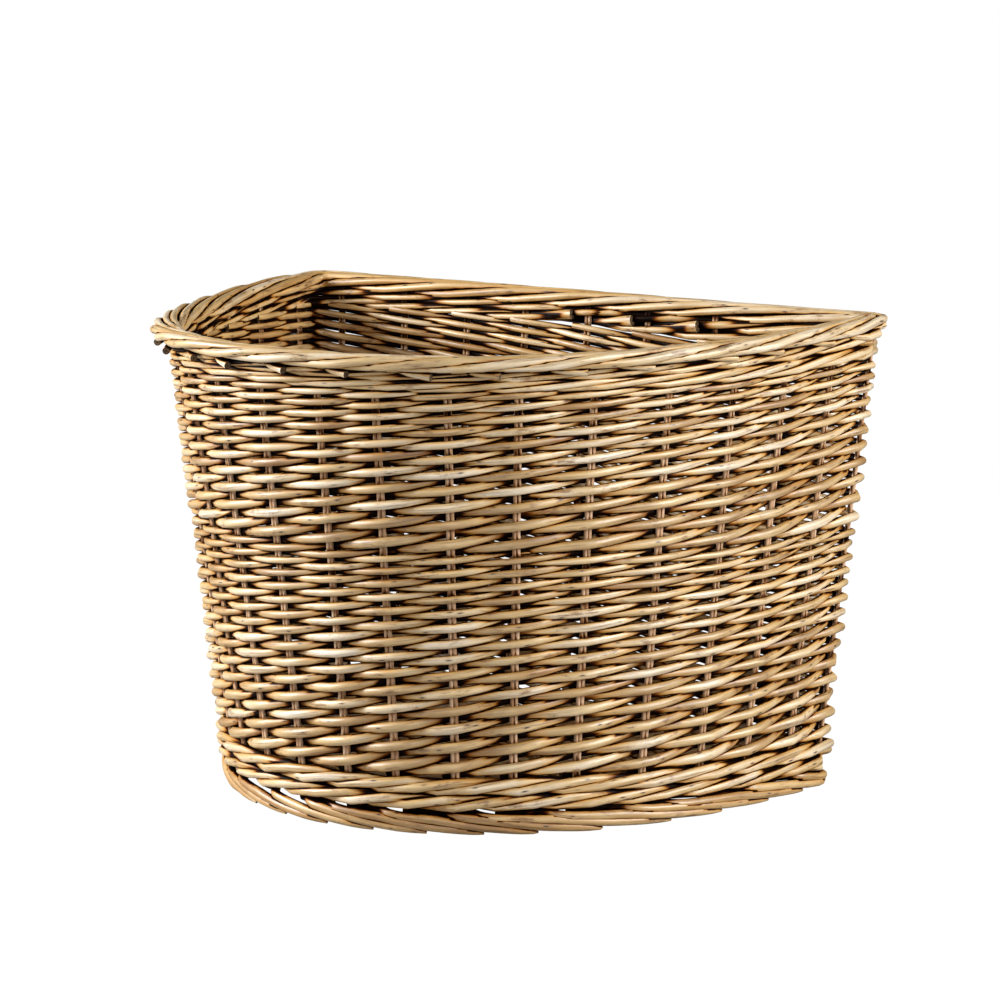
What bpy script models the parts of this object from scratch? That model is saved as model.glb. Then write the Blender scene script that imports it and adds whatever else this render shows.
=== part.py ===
"""Bicycle basket of steamed willow rods, D-shaped in plan.

The straight back at +Y lies against the handlebar and the curved front faces -Y.  The origin is on
the floor, under the middle of the basket.  Metres, +Z up.

The wall is woven on 28 upright stakes, in panels.  In each panel one rod runs to and fro, in front
of every other stake, so that the rows alternate.  The rows are thick at the bottom of each of the
two sets of rows and thin at its top.  Waling closes the wall at both ends, a rolled border finishes
the rim, and a foot border under the base carries the basket.
"""
import bpy
import bmesh
import math
from mathutils import Matrix, Vector

# Overall sizes
basket_height = 0.3072
border_height = 0.0150
foot_height = 0.0130
fit_gap = 0.0003

# Plan of the line that the stakes stand on, at the floor and at the top of the border
floor_half_width = 0.1925
floor_depth = 0.2574
floor_back_y = 0.1327
floor_roundness_ratio = 2.03
top_half_width = 0.2140
top_depth = 0.3344
top_back_y = 0.1666
top_roundness_ratio = 2.32
corner_radius = 0.0160
corner_end_shares = (0.013, 0.970)

# Stakes: their places along the curved front, from the right rear corner to the left one, and along
# the back, from left to right
front_stake_shares = (
    0.0, 0.044, 0.102, 0.160, 0.223, 0.285, 0.341, 0.391, 0.442, 0.487,
    0.538, 0.585, 0.632, 0.678, 0.724, 0.769, 0.815, 0.861, 0.916, 0.985,
)
back_stake_shares = (0.032, 0.159, 0.281, 0.393, 0.511, 0.623, 0.746, 0.876)
stake_half_width = 0.0029
stake_half_depth = 0.0016
stake_sides = 8

# Rows of the side weave: their number in each set, the share of the weave's height that the lower
# set takes, and how thin the last row of a set is beside its first
lower_set_rows = 26
upper_set_rows = 18
lower_set_height_share = 0.609
lower_set_taper_ratio = 0.60
upper_set_taper_ratio = 0.56
rod_clearance = 0.0002

# Panels of the side weave: the rows of each level, and the first stake of each side
panel_first_rows = (0, 13, 26)
panel_first_stakes = (("right", 0), ("front", 6), ("left", 13), ("back", 20))

# Waling below and above the weave
lower_wale_height = 0.0240
lower_wale_thickness = 0.0062
upper_wale_height = 0.0118
upper_wale_thickness = 0.0040
wale_rib_depth = 0.0011
wale_strands = 4

# Rolled border
border_outer_reach = 0.0166
border_inner_reach = 0.0050
border_rib_depth = 0.0020
border_strand_stakes = 2.0

# Foot border
foot_outer_reach = 0.0046
foot_inner_reach = 0.0066
foot_rib_depth = 0.0018
foot_strand_stakes = 2.0

# Base
base_stick_count = 7
outer_stick_room = 0.0294
base_stick_radius = 0.0030
base_rod_radius = 0.0028
base_row_pitch = 0.0078
base_middle_height = 0.0240
base_edge_room = 0.0018
row_end_slope = math.radians(30)

# Colours of the willow
honey_color = (0.60, 0.38, 0.16, 1.0)
pale_color = (0.68, 0.47, 0.23, 1.0)
stake_color = (0.42, 0.25, 0.14, 1.0)
brown_color = (0.47, 0.26, 0.10, 1.0)
willow_roughness = 0.45

outline_samples = 240
corner_samples = 12


def clear_scene():
    for obj in list(bpy.data.objects):
        bpy.data.objects.remove(obj, do_unlink=True)


def new_collection(name):
    collection = bpy.data.collections.new(name)
    bpy.context.scene.collection.children.link(collection)
    return collection


def willow_material(name, color):
    material = bpy.data.materials.new(name)
    material.use_nodes = True
    shader = material.node_tree.nodes["Principled BSDF"]
    shader.inputs["Base Color"].default_value = color
    shader.inputs["Roughness"].default_value = willow_roughness
    shader.inputs["Metallic"].default_value = 0.0
    return material


def mix(low, high, share):
    return low + (high - low) * share


# Plan outline


def front_outline(half_width, depth, roundness, back_y):
    """The curved front and half of each rear corner, from right to left."""
    start = math.asin((corner_radius / depth) ** (roundness / 2))
    points = []
    side_x = half_width * math.cos(start) ** (2 / roundness)
    middle_y = back_y - corner_radius
    for i in range(corner_samples):
        angle = math.pi / 4 * (1 - i / corner_samples)
        x = side_x - corner_radius + corner_radius * math.cos(angle)
        points.append(Vector((x, middle_y + corner_radius * math.sin(angle), 0)))
    for i in range(outline_samples + 1):
        angle = mix(start, math.pi - start, i / outline_samples)
        x = half_width * abs(math.cos(angle)) ** (2 / roundness)
        if angle > math.pi / 2:
            x = -x
        points.append(Vector((x, back_y - depth * math.sin(angle) ** (2 / roundness), 0)))
    for i in range(1, corner_samples + 1):
        angle = math.pi / 4 * i / corner_samples
        x = -side_x + corner_radius - corner_radius * math.cos(angle)
        points.append(Vector((x, middle_y + corner_radius * math.sin(angle), 0)))
    return points


def back_outline(half_width, depth, roundness, back_y):
    """The other half of each rear corner and the straight back, from left to right."""
    start = math.asin((corner_radius / depth) ** (roundness / 2))
    inner_x = half_width * math.cos(start) ** (2 / roundness) - corner_radius
    middle_y = back_y - corner_radius
    points = []
    for i in range(corner_samples + 1):
        angle = math.pi / 4 * (1 + i / corner_samples)
        reach = Vector((-math.cos(angle), math.sin(angle), 0)) * corner_radius
        points.append(Vector((-inner_x, middle_y, 0)) + reach)
    for i in range(corner_samples + 1):
        angle = math.pi / 4 * (2 - i / corner_samples)
        reach = Vector((math.cos(angle), math.sin(angle), 0)) * corner_radius
        points.append(Vector((inner_x, middle_y, 0)) + reach)
    return points


def place_on(points, share):
    """The point at a share of a line's length, and the outward normal there."""
    lengths = [0.0]
    for a, b in zip(points, points[1:]):
        lengths.append(lengths[-1] + (b - a).length)
    goal = min(max(share, 0.0), 1.0) * lengths[-1]
    index = 0
    while index < len(points) - 2 and lengths[index + 1] < goal:
        index += 1
    a = points[index]
    b = points[index + 1]
    rest = (goal - lengths[index]) / (b - a).length
    along = (b - a).normalized()
    return a.lerp(b, rest), Vector((-along.y, along.x, 0))


def wall_places():
    """Stake places in order round the wall: (side, share, has_stake)."""
    places = [("front", share, True) for share in front_stake_shares]
    places.append(("front", 1.0, False))
    places.extend(("back", share, True) for share in back_stake_shares)
    return places


floor_plan = (floor_half_width, floor_depth, floor_roundness_ratio, floor_back_y)
top_plan = (top_half_width, top_depth, top_roundness_ratio, top_back_y)


def stations_for(places):
    """Each place as its foot on the floor plan, its head on the top plan and its normal."""
    lines = {
        "front": (front_outline(*floor_plan), front_outline(*top_plan)),
        "back": (back_outline(*floor_plan), back_outline(*top_plan)),
    }
    stations = []
    for side, share, has_stake in places:
        low, low_normal = place_on(lines[side][0], share)
        high, high_normal = place_on(lines[side][1], share)
        normal = (low_normal + high_normal).normalized()
        stations.append((low, high, normal, has_stake))
    return stations


def at_height(station, height, offset):
    low, high, normal, has_stake = station
    point = low.lerp(high, height / basket_height) + normal * offset
    return Vector((point.x, point.y, height))


def turn_slopes(stations):
    """Half of the plan's turn at each station, and the shorter span beside it."""
    slopes = []
    count = len(stations)
    for i in range(count):
        before = stations[i - 1][0].lerp(stations[i - 1][1], 0.5)
        here = stations[i][0].lerp(stations[i][1], 0.5)
        after = stations[(i + 1) % count][0].lerp(stations[(i + 1) % count][1], 0.5)
        turn = (here - before).angle(after - here)
        span = min((here - before).length, (after - here).length)
        slopes.append((turn / 2, span))
    return slopes


# Curves and rings


def poly_tube(name, points, radii, collection, material):
    """A rod of four sides through the points, with a radius at each."""
    curve = bpy.data.curves.new(name, "CURVE")
    curve.dimensions = "3D"
    curve.twist_mode = "MINIMUM"
    curve.bevel_depth = max(radii)
    curve.bevel_resolution = 0
    curve.use_fill_caps = True
    curve.render_resolution_u = 0
    spline = curve.splines.new("POLY")
    spline.points.add(len(points) - 1)
    for i, point in enumerate(points):
        spline.points[i].co = (point.x, point.y, point.z, 1.0)
        spline.points[i].radius = radii[i] / curve.bevel_depth
    spline.use_smooth = True
    curve.materials.append(material)
    obj = bpy.data.objects.new(name, curve)
    collection.objects.link(obj)
    return obj


def ring_from_sections(name, sections, collection, material):
    """A closed ring lofted through sections whose shape changes on the way round."""
    mesh = bpy.data.meshes.new(name)
    bm = bmesh.new()
    loops = [[bm.verts.new(point) for point in section] for section in sections]
    sides = len(sections[0])
    for i in range(len(loops)):
        here = loops[i]
        after = loops[(i + 1) % len(loops)]
        for k in range(sides):
            bm.faces.new((here[k], after[k], after[(k + 1) % sides], here[(k + 1) % sides]))
    bmesh.ops.recalc_face_normals(bm, faces=bm.faces)
    bm.to_mesh(mesh)
    bm.free()
    mesh.shade_smooth()
    mesh.materials.append(material)
    obj = bpy.data.objects.new(name, mesh)
    collection.objects.link(obj)
    return obj


def ring_places():
    """Places for the rings: each stake's place and the middle of each span."""
    places = wall_places()
    full = []
    for i, (side, share, has_stake) in enumerate(places):
        full.append((side, share, has_stake))
        next_side, next_share, next_stake = places[(i + 1) % len(places)]
        if side == "front" and share == 1.0:
            continue
        if next_side != side:
            next_share = 1.0
        if side == "front" and share == 0.0:
            full.append((side, corner_end_shares[0], False))
        full.append((side, (share + next_share) / 2, False))
    full.append(("back", corner_end_shares[1], False))
    return full


def plain_section(low, high, inner, outer):
    """Four (offset, height) corners of a plain section, from the inner foot outward."""
    return [(inner, low), (outer, low), (outer, high), (inner, high)]


def rounded_section(low, high, inner, outer, corner):
    """Eight (offset, height) corners of a rounded section, from the inner foot outward."""
    return [
        (inner + corner, low), (outer - corner, low), (outer, low + corner),
        (outer, high - corner), (outer - corner, high), (inner + corner, high),
        (inner, high - corner), (inner, low + corner),
    ]


def strand_wave(station_number, height_share, strand_spans, strands):
    """Depth share of the groove beside a strand that climbs as it goes round."""
    phase = station_number / (2 * strand_spans) - height_share * strands
    return 0.5 - 0.5 * math.cos(2 * math.pi * phase)


# Pieces


def make_stakes(stations, low, high, collection, material):
    """Upright pairs of rods side by side, each pair one oval bar that leans out with the wall."""
    number = 0
    for station in stations:
        if not station[3]:
            continue
        number += 1
        foot = at_height(station, low, 0)
        head = at_height(station, high, 0)
        normal = station[2]
        along = Vector((normal.y, -normal.x, 0))
        mesh = bpy.data.meshes.new(f"stake_{number:02d}")
        bm = bmesh.new()
        bmesh.ops.create_cone(
            bm, cap_ends=True, segments=stake_sides, radius1=stake_half_width,
            radius2=stake_half_width, depth=high - low,
        )
        turn = Matrix.Rotation(math.pi / stake_sides, 4, "Z")
        bmesh.ops.transform(bm, matrix=turn, verts=bm.verts)
        for vert in bm.verts:
            centre = foot if vert.co.z < 0 else head
            depth = vert.co.y * stake_half_depth / stake_half_width
            vert.co = centre + along * vert.co.x + normal * depth
        bmesh.ops.recalc_face_normals(bm, faces=bm.faces)
        bm.to_mesh(mesh)
        bm.free()
        mesh.shade_smooth()
        mesh.set_sharp_from_angle(angle=math.radians(60))
        mesh.materials.append(material)
        obj = bpy.data.objects.new(f"stake_{number:02d}", mesh)
        collection.objects.link(obj)


def weave_limits():
    """Heights between which the side weave fills the wall."""
    low = foot_height + lower_wale_height + 2 * fit_gap
    high = basket_height - border_height - upper_wale_height - 2 * fit_gap
    return low, high


def set_edge(low, high, share, taper):
    """Height at a share of a set's rows, whose thickness falls evenly to the taper ratio."""
    return mix(low, high, (2 * share - (1 - taper) * share ** 2) / (1 + taper))


def row_edge(row):
    """Height of the lower edge of a row."""
    low, high = weave_limits()
    middle = mix(low, high, lower_set_height_share)
    if row <= lower_set_rows:
        return set_edge(low, middle, row / lower_set_rows, lower_set_taper_ratio)
    return set_edge(middle, high, (row - lower_set_rows) / upper_set_rows, upper_set_taper_ratio)


def row_height(row):
    """Height of a rod's centre."""
    return (row_edge(row) + row_edge(row + 1)) / 2


def rod_radius(row):
    return (row_edge(row + 1) - row_edge(row) - fit_gap) / 2 - rod_clearance


def weaver_point(stations, slopes, step, row, in_front):
    """Centre of a rod where it passes a stake, in front of it or behind it."""
    station = stations[step]
    radius = rod_radius(row)
    half_turn, span = slopes[step]
    if not in_front:
        half_turn = -half_turn
    reach = stake_half_depth
    for again in range(4):
        swing = math.atan(2 * (radius + reach + fit_gap) / span)
        slope = math.tan(max(half_turn + swing, 0.0))
        reach = math.hypot(stake_half_depth, slope * stake_half_width)
    offset = radius + reach + 2 * fit_gap
    if not in_front:
        offset = -offset
    return at_height(station, row_height(row), offset)


def seam_beside(stations, slopes, step):
    """The seam before a stake: a corner of the plan, or else the middle of the span."""
    before = stations[step - 1]
    here = stations[step]
    if not before[3]:
        return before, slopes[step - 1][0]
    low = before[0].lerp(here[0], 0.5)
    high = before[1].lerp(here[1], 0.5)
    return (low, high, (before[2] + here[2]).normalized(), False), 0.0


def seam_point(seam, stake, row):
    """Where a rod turns back beside a seam, so that it clears the rod of the next panel."""
    station, half_turn = seam
    point = at_height(station, row_height(row), 0)
    inward = (at_height(stake, row_height(row), 0) - point).normalized()
    return point + inward * (rod_radius(row) + fit_gap) / math.cos(half_turn)


def panel_line(stations, slopes, steps, seams, rows):
    """Points and radii of one rod that runs to and fro over a panel's stakes."""
    points = []
    radii = []
    for row in rows:
        line = [seam_point(seams[0], stations[steps[0][1]], row)]
        for number, step in steps:
            in_front = (number + row) % 2 == 0
            line.append(weaver_point(stations, slopes, step, row, in_front))
        line.append(seam_point(seams[1], stations[steps[-1][1]], row))
        if (row - rows[0]) % 2 == 1:
            line.reverse()
        points.extend(line)
        radii.extend([rod_radius(row)] * len(line))
    return points, radii


def make_panels(stations, collection, material):
    """The side weave, level by level and side by side."""
    slopes = turn_slopes(stations)
    stake_steps = [step for step, station in enumerate(stations) if station[3]]
    row_ends = panel_first_rows[1:] + (lower_set_rows + upper_set_rows,)
    stake_ends = [first for side, first in panel_first_stakes[1:]] + [len(stake_steps)]
    for level, (first_row, end_row) in enumerate(zip(panel_first_rows, row_ends)):
        for (side, first), end in zip(panel_first_stakes, stake_ends):
            steps = [(number, stake_steps[number]) for number in range(first, end)]
            next_step = stake_steps[end % len(stake_steps)]
            seams = (
                seam_beside(stations, slopes, steps[0][1]),
                seam_beside(stations, slopes, next_step),
            )
            rows = range(first_row, end_row)
            points, radii = panel_line(stations, slopes, steps, seams, rows)
            poly_tube(f"side_weave_{side}_{level + 1}", points, radii, collection, material)


def make_wale(name, stations, low, high, inner, outer, collection, material):
    """A band of waling in front of the stakes, with ribs where its strands climb."""
    sections = []
    corner = min((high - low) / 5, (outer - inner) / 3)
    slopes = turn_slopes(stations)
    for i, station in enumerate(stations):
        section = []
        swell = 0.0
        if station[3]:
            reach = math.tan(slopes[i][0]) * stake_half_width
            swell = math.hypot(stake_half_depth, reach) - stake_half_depth
        for offset, height in rounded_section(low, high, inner, outer, corner):
            share = (height - low) / (high - low)
            depth = -swell
            if offset == outer:
                depth += wale_rib_depth * strand_wave(i, share, 2, wale_strands)
            section.append(at_height(station, height, offset - depth))
        sections.append(section)
    return ring_from_sections(name, sections, collection, material)


def make_inner_wale(name, stations, low, high, inner, outer, collection, material):
    """The part of a band of waling that lies behind the stakes."""
    sections = []
    for station in stations:
        section = plain_section(low, high, inner, outer)
        sections.append([at_height(station, height, offset) for offset, height in section])
    return ring_from_sections(name, sections, collection, material)


def make_border(stations, low, collection, material):
    """Rolled border: strands that climb over the top and down the outside of the rim."""
    sections = []
    corner = border_height / 4
    for i, station in enumerate(stations):
        section = []
        flat = station[2].y > math.cos(math.radians(5))
        ring = rounded_section(low, basket_height, -border_inner_reach, border_outer_reach, corner)
        for k, (offset, height) in enumerate(ring):
            depth = 0.0
            if offset > 0 and not flat:
                share = (height - low) / border_height
                depth = border_rib_depth * strand_wave(i, share, border_strand_stakes, 2)
            base = at_height(station, basket_height, 0)
            reach = offset - depth * (1 if k in (2, 3) else 0)
            point = base + station[2] * reach
            point.z = height - (depth if k in (4, 5) else 0)
            section.append(point)
        sections.append(section)
    return ring_from_sections("rim_border", sections, collection, material)


def make_foot(stations, collection, material):
    """Foot border: short strands that slant down to the floor, which they meet in a flat face."""
    sections = []
    corner = (foot_outer_reach + foot_inner_reach) / 5
    for i, station in enumerate(stations):
        section = []
        ring = rounded_section(0.0, foot_height, -foot_inner_reach, foot_outer_reach, corner)
        for k, (offset, height) in enumerate(ring):
            depth = 0.0
            if k in (2, 3):
                share = height / foot_height
                depth = foot_rib_depth * strand_wave(-i, share, foot_strand_stakes, 2)
            section.append(at_height(station, height, offset - depth))
        sections.append(section)
    return ring_from_sections("foot_border", sections, collection, material)


def base_inset():
    return stake_half_depth + lower_wale_thickness + base_edge_room


def base_outline():
    share = base_middle_height / basket_height
    half_width = mix(floor_half_width, top_half_width, share) - base_inset()
    depth = mix(floor_depth, top_depth, share) - 2 * base_inset()
    back_y = mix(floor_back_y, top_back_y, share) - base_inset()
    return half_width, depth, mix(floor_roundness_ratio, top_roundness_ratio, share), back_y


def base_half_width(y):
    """Half of the base's width at a depth, with its rear corners rounded off."""
    half_width, depth, roundness, back_y = base_outline()
    part = min(max((back_y - y) / depth, 0.0), 1.0)
    width = half_width * (1 - part ** roundness) ** (1 / roundness)
    into_corner = corner_radius - (back_y - y)
    if into_corner > 0:
        width -= corner_radius - math.sqrt(corner_radius ** 2 - into_corner ** 2)
    return width


def base_stick_spacing():
    return (base_outline()[0] - outer_stick_room) / ((base_stick_count - 1) / 2)


def row_end(y):
    """The last stick that a row passes, counted from the middle, and where the row turns."""
    edge = min(base_half_width(y), base_half_width(y - base_rod_radius)) - base_rod_radius
    beside = base_stick_radius + base_rod_radius + 2 * fit_gap
    last = (base_stick_count - 1) // 2
    spacing = base_stick_spacing()
    while last * spacing + beside / math.sin(row_end_slope) > edge:
        last -= 1
    next_stick = (last + 1) * spacing
    if last < (base_stick_count - 1) // 2:
        edge = min(edge, next_stick - beside)
    return last, edge


def base_rows():
    """Each row of the base as its depth, its last stick and its half length."""
    half_width, depth, roundness, back_y = base_outline()
    front = back_y - depth + base_rod_radius + base_row_pitch
    rows = []
    y = back_y - base_rod_radius
    while y > front:
        last, edge = row_end(y)
        rows.append((y, last, edge))
        y -= base_row_pitch
    return rows


def make_base_sticks(rows, collection, material):
    """Straight sticks from the back of the base to the last row that crosses each."""
    back = base_outline()[3]
    outermost = (base_stick_count - 1) // 2
    for number in range(-outermost, outermost + 1):
        front = min(y for y, last, edge in rows if last >= abs(number)) + fit_gap
        x = number * base_stick_spacing()
        points = [
            Vector((x, front, base_middle_height)),
            Vector((x, back, base_middle_height)),
        ]
        radii = [base_stick_radius, base_stick_radius]
        name = f"base_stick_{number + outermost + 1}"
        tube = poly_tube(name, points, radii, collection, material)
        tube.data.bevel_resolution = 1


def make_base_weave(rows, collection, material):
    """One long rod laid to and fro across the sticks, over one and under the next."""
    spacing = base_stick_spacing()
    swing = 2 * (base_rod_radius + base_stick_radius) / spacing
    offset = (base_stick_radius + base_rod_radius) * math.hypot(1.0, swing) + fit_gap
    beside = base_stick_radius + base_rod_radius + 2 * fit_gap
    points = []
    for row, (y, last, edge) in enumerate(rows):
        side = -1 if row % 2 == 1 else 1
        past_last = edge - last * spacing
        end_offset = beside / math.sqrt(1 - (beside / past_last) ** 2)
        end_offset = max(end_offset, offset)
        points.append(Vector((-side * edge, y, base_middle_height)))
        for number in range(-last, last + 1):
            lift = end_offset if abs(number) == last else offset
            if (side * number + row) % 2 == 1:
                lift = -lift
            x = side * number * spacing
            points.append(Vector((x, y, base_middle_height + lift)))
        points.append(Vector((side * edge, y, base_middle_height)))
    radii = [base_rod_radius] * len(points)
    return poly_tube("base_weave", points, radii, collection, material)


def build():
    clear_scene()
    basket = new_collection("bicycle_basket")
    honey = willow_material("honey_willow", honey_color)
    pale = willow_material("pale_willow", pale_color)
    stake_brown = willow_material("stake_willow", stake_color)
    brown = willow_material("brown_willow", brown_color)

    stations = stations_for(wall_places())
    ring_stations = stations_for(ring_places())
    wale_low = foot_height + fit_gap
    wale_high = wale_low + lower_wale_height
    border_low = basket_height - border_height
    upper_high = border_low - fit_gap
    upper_low = upper_high - upper_wale_height
    side = stake_half_depth + fit_gap

    make_stakes(stations, wale_low, upper_high, basket, stake_brown)
    make_panels(stations, basket, honey)
    lower_outer = side + lower_wale_thickness
    upper_outer = side + upper_wale_thickness
    make_wale(
        "lower_wale_outer", ring_stations, wale_low, wale_high, side, lower_outer, basket, honey,
    )
    make_inner_wale(
        "lower_wale_inner", ring_stations, wale_low, wale_high, -lower_outer, -side, basket, brown,
    )
    make_wale(
        "upper_wale_outer", ring_stations, upper_low, upper_high, side, upper_outer, basket, honey,
    )
    make_inner_wale(
        "upper_wale_inner", ring_stations, upper_low, upper_high, -upper_outer, -side, basket, brown,
    )
    make_border(ring_stations, border_low, basket, pale)
    make_foot(ring_stations, basket, brown)
    rows = base_rows()
    make_base_sticks(rows, basket, brown)
    make_base_weave(rows, basket, brown)


build()
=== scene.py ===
# %% [markdown]
# # A willow bicycle basket, rod by rod
# This basket is D-shaped: a straight back that lies against the handlebar and a curved front. Nothing in it
# is moulded or glued. It is 28 upright pairs of willow rods, with other rods woven round them, so the lesson
# builds it the same way: one straight rod is modelled by hand, and every rod of the basket is a copy of it,
# bent along its own path.

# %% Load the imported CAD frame
import bpy
import math
import random
import numpy as np
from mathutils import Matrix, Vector
from mathutils.bvhtree import BVHTree


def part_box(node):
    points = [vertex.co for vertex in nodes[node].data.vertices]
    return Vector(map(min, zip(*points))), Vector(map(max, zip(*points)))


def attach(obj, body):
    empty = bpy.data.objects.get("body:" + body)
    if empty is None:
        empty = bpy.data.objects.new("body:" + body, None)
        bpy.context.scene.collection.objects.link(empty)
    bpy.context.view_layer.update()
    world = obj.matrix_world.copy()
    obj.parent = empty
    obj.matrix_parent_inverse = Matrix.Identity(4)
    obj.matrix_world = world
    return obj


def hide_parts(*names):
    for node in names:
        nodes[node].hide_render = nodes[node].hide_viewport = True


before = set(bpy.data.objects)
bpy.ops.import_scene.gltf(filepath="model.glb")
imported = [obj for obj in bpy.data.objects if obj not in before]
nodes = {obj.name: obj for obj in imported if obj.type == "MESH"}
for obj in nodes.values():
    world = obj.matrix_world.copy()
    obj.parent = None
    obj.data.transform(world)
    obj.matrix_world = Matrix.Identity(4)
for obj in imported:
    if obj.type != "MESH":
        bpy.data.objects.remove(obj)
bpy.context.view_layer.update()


# %% [markdown]
# ## The D of the basket
# The wall stands on a D. Its front is a full, even curve, because willow rods spread their bend, and its back
# is straight. At the rear corners the rods turn sharply, round a corner stake. The sides spread a little
# towards the corners. The D at the floor is smaller than the one at the rim, and the border has its own D.

# %% Outlines of the wall at the floor and at the rim
floor_plan = {"half_width": 0.1925, "depth": 0.2574, "back": 0.1327, "fullness": 2.03, "spread": 0.0075}
rim_plan = {"half_width": 0.2140, "depth": 0.3344, "back": 0.1666, "fullness": 2.32, "spread": 0.0092}
border_plan = dict(rim_plan, spread=0.0)
floor_level = 0.0
rim_level = 0.3072
corner_radius = 0.0055
spread_depth = 0.09
corner_steps = 8
front_steps = 240


def corner_arc(x, y, first, last, count):
    """Points round the rear corner with its middle at x, y, from one angle in degrees to another."""
    angles = [math.radians(first + (last - first) * k / count) for k in range(count + 1)]
    return [(x + corner_radius * math.cos(angle), y + corner_radius * math.sin(angle)) for angle in angles]


def d_outline(plan):
    """The D as many points, from the middle of the right rear corner along the back to the left."""
    width, depth, back = plan["half_width"], plan["depth"], plan["back"]
    power = 2 / plan["fullness"]
    start = math.asin((corner_radius / depth) ** (1 / power))
    corner_x = width * math.cos(start) ** power - corner_radius
    corner_y = back - corner_radius
    points = corner_arc(corner_x, corner_y, 45, 90, corner_steps)
    points += corner_arc(-corner_x, corner_y, 90, 180, 2 * corner_steps)
    for k in range(1, front_steps):
        angle = start + (math.pi - 2 * start) * k / front_steps
        across = math.copysign(abs(math.cos(angle)) ** power, -math.cos(angle))
        points.append((width * across, back - depth * math.sin(angle) ** power))
    points += corner_arc(corner_x, corner_y, 0, 45, corner_steps)
    line = np.array(points)
    rear = np.clip((line[:, 1] - (back - spread_depth)) / spread_depth, 0, 1) ** 2
    line[:, 0] *= 1 + plan["spread"] / width * rear
    return line


def even_steps(line, count):
    """The same line with points at even distances."""
    reach = np.concatenate([[0], np.cumsum(np.linalg.norm(np.diff(line, axis=0), axis=1))])
    places = np.linspace(0, reach[-1], count + 1)[:-1]
    return np.stack([np.interp(places, reach, line[:, k]) for k in range(2)], axis=1)


def outward_of(line):
    """Direction out of the basket at each point of a line."""
    along = np.roll(line, -3, axis=0) - np.roll(line, 3, axis=0)
    out = np.stack([along[:, 1], -along[:, 0]], axis=1)
    return out / np.linalg.norm(out, axis=1, keepdims=True)


line_count = 1400
floor_line = even_steps(d_outline(floor_plan), line_count)
rim_line = even_steps(d_outline(rim_plan), line_count)
border_line = even_steps(d_outline(border_plan), line_count)
floor_out = outward_of(floor_line)
rim_out = outward_of(rim_line)
border_out = outward_of(border_line)
print("length round the floor:", round(float(np.linalg.norm(np.diff(floor_line, axis=0), axis=1).sum()), 3))


# %% [markdown]
# ## Where the stakes stand
# The CAD model has one oval bar for each pair of stakes. Their lowest and highest points tell where the stakes
# cross the two outlines. They are numbered clockwise as seen from above. The weaver works the other way, to
# the right as seen from outside, so the list is turned round. A place on the wall is then a number of stakes
# travelled, a height, and a distance outside the stakes.

# %% Stakes of the frame, from left to right as seen from outside
end_depth = 0.001


def bar_end(points, level):
    """Middle of the end of a bar."""
    near = [point for point in points if abs(point.z - level) < end_depth]
    return [(min(p[k] for p in near) + max(p[k] for p in near)) / 2 for k in range(2)]


def nearest_place(line, point):
    return int(np.argmin(np.linalg.norm(line - np.array(point), axis=1)))


stake_names = sorted((name for name in nodes if name.startswith("stake_")), reverse=True)
stake_count = len(stake_names)
foot_places = []
head_places = []
for name in stake_names:
    points = [vertex.co for vertex in nodes[name].data.vertices]
    stake_low = min(point.z for point in points)
    stake_high = max(point.z for point in points)
    foot_places.append(nearest_place(floor_line, bar_end(points, stake_low)))
    head_places.append(nearest_place(rim_line, bar_end(points, stake_high)))
# The last stake stands where both lines close, and after it the first one comes again.
foot_places[-1] = head_places[-1] = line_count
foot_places.append(foot_places[0] + line_count)
head_places.append(head_places[0] + line_count)
print("stakes:", stake_count, "from", round(stake_low, 4), "to", round(stake_high, 4))


def place_at(places, turn):
    """Place on a line after a number of stakes, also between two stakes."""
    whole = math.floor(turn)
    here, after = places[whole % stake_count], places[whole % stake_count + 1]
    return here + (after - here) * (turn - whole)


def line_point(line, place):
    low = math.floor(place)
    part = place - low
    a = line[low % line_count]
    b = line[(low + 1) % line_count]
    return a * (1 - part) + b * part


def on_wall(turn, height, out=0.0):
    """Place on the wall: stakes travelled, height, and distance outside the stakes' middle."""
    share = (height - floor_level) / (rim_level - floor_level)
    foot_place = place_at(foot_places, turn)
    head_place = place_at(head_places, turn)
    here = line_point(floor_line, foot_place) * (1 - share) + line_point(rim_line, head_place) * share
    outward = line_point(floor_out, foot_place) * (1 - share) + line_point(rim_out, head_place) * share
    outward = outward / np.linalg.norm(outward)
    x, y = here + outward * out
    return Vector((float(x), float(y), height))


def smooth_step(low, high, value):
    part = np.clip((value - low) / (high - low), 0, 1)
    return part * part * (3 - 2 * part)


print("front middle at mid height:", on_wall(18, 0.15))


# %% [markdown]
# ## The rows sag at one corner
# The weaver pressed the rows down harder at the right rear corner than at the front, so all rows of the wall run
# downhill to it. The sag is greatest at the height where the second set of rods starts, and the border has none.
# At its left end the border hangs a little lower than elsewhere, as the photograph shows.

# %% Sag of the rows
sag_heights = [0.0, 0.020, 0.045, 0.100, 0.180, 0.230, 0.285, 0.297, 0.3072]
sag_depths = [0.0, 0.0045, 0.0080, 0.0108, 0.0120, 0.0097, 0.0062, 0.0010, 0.0]
sag_grows = (20.5, 26)
sag_fades = (28, 32.5)
left_end_stake = 11.8
left_end_reach = 3.4
left_end_drop = 0.0026
drop_heights = (0.262, 0.300)


def sag_share(turn):
    """0 where the rows are level, 1 where they sag most."""
    place = (turn - 8) % stake_count + 8
    return float(smooth_step(*sag_grows, place) * (1 - smooth_step(*sag_fades, place)))


def left_end(turn):
    """1 at the left end of the rim, 0 away from it."""
    place = (turn - 4) % stake_count + 4
    return max(0.0, 1 - ((place - left_end_stake) / left_end_reach) ** 2)


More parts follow.
